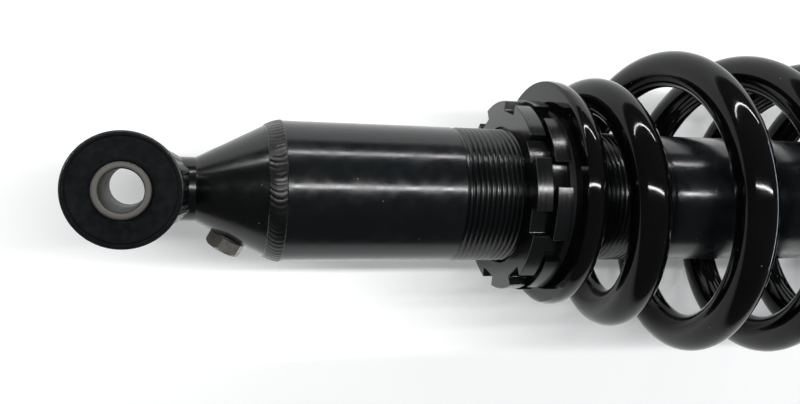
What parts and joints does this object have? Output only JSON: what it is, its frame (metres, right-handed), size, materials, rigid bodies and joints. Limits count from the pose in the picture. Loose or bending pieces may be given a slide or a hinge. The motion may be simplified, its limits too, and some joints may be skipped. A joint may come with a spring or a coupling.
{
  "type": "coilover",
  "caption": "Threaded-body coil-over damper with castellated ring nuts, a barrel-shaped black spring and a rubber-bushed eye at each end.",
  "frame": {"origin": "centre of the upper eye's bore", "axes": "+X along the damper towards the rod and the lower eye, +Z along the bores of both eyes"},
  "size_m": [0.4553, 0.1088, 0.1074],
  "materials": {
    "body_paint": "gloss",
    "cone_paint": "gloss",
    "spring_paint": "high gloss",
    "ring_anodise": "satin",
    "eye_paint": "satin",
    "bush_rubber": "matt",
    "sleeve_steel": "dull",
    "plug_steel": "satin",
    "seal_rubber": "satin",
    "washer_nylon": "satin",
    "rod_chrome": "polished",
    "bright_aluminium": "machined",
    "piston_metal": "machined",
    "shim_steel": "satin",
    "zinc_steel": "satin",
    "bearing_lining": "satin",
    "band_plastic": "satin",
    "bump_foam": "matt",
    "perch_paint": "satin"
  },
  "bodies": {
    "damper_body": {"upper_bush": "bush_rubber", "upper_eye_ring": "eye_paint", "eye_weld": "eye_paint", "end_cone": "cone_paint", "charge_plug": "plug_steel", "plug_washer": "seal_rubber", "cone_weld": "cone_paint", "body_tube": "body_paint", "coil_spring": "spring_paint", "rod_guide": "bright_aluminium", "guide_bush": "bearing_lining", "guide_seal": "seal_rubber", "rod_seal": "seal_rubber", "rod_wiper": "seal_rubber", "guide_circlip": "shim_steel", "end_cap": "eye_paint"},
    "upper_sleeve": {"upper_sleeve": "sleeve_steel"},
    "spring_seat": {"slip_washer": "washer_nylon"},
    "adjuster": {"adjuster_ring": "ring_anodise"},
    "lock_ring": {"lock_ring": "ring_anodise"},
    "floating_piston": {"floating_piston": "bright_aluminium", "floating_piston_seal": "seal_rubber"},
    "rod": {"piston_nut": "zinc_steel", "rebound_shims": "shim_steel", "piston": "piston_metal", "piston_band": "band_plastic", "compression_shims": "shim_steel", "piston_rod": "rod_chrome", "rebound_bumper": "seal_rubber", "bump_stop": "bump_foam", "lower_perch": "perch_paint", "jam_nut": "zinc_steel", "lower_mount": "eye_paint", "lower_eye_weld": "eye_paint", "lower_eye_ring": "eye_paint", "lower_bush": "bush_rubber"},
    "lower_sleeve": {"lower_sleeve": "sleeve_steel"}
  },
  "joints": [
    {"name": "upper_eye_twist", "type": "hinge", "parent": "damper_body", "child": "upper_sleeve", "pos_m": [0, 0, 0], "axis": [0, 0, 1], "range_deg": [-15, 15], "stiffness_Nm_per_rad": 40},
    {"name": "seat_height", "type": "slide", "parent": "damper_body", "child": "spring_seat", "axis": [1, 0, 0], "range_m": [-0.0125, 0.0185], "deforming": ["coil_spring"]},
    {"name": "adjuster_turn", "type": "hinge", "parent": "spring_seat", "child": "adjuster", "pos_m": [0.13137, 0, 0], "axis": [1, 0, 0], "range_deg": [-2520, 3780]},
    {"name": "lock_turn", "type": "hinge", "parent": "adjuster", "child": "lock_ring", "pos_m": [0.12527, 0, 0], "axis": [1, 0, 0], "range_deg": [-90, 0]},
    {"name": "stroke", "type": "slide", "parent": "damper_body", "child": "rod", "axis": [-1, 0, 0], "range_m": [0, 0.085], "stiffness_N_per_m": 37000, "springref_m": -0.006, "deforming": ["coil_spring"]},
    {"name": "gas_piston_slide", "type": "slide", "parent": "damper_body", "child": "floating_piston", "axis": [-1, 0, 0], "range_m": [0, 0.0131]},
    {"name": "lower_eye_twist", "type": "hinge", "parent": "rod", "child": "lower_sleeve", "pos_m": [0.42111, 0, 0], "axis": [0, 0, 1], "range_deg": [-15, 15], "stiffness_Nm_per_rad": 40}
  ],
  "couplings": [
    {"joint": "seat_height", "follows": "adjuster_turn", "m_per_rad": 0.00027852},
    {"joint": "gas_piston_slide", "follows": "stroke", "ratio": 0.15124}
  ]
}
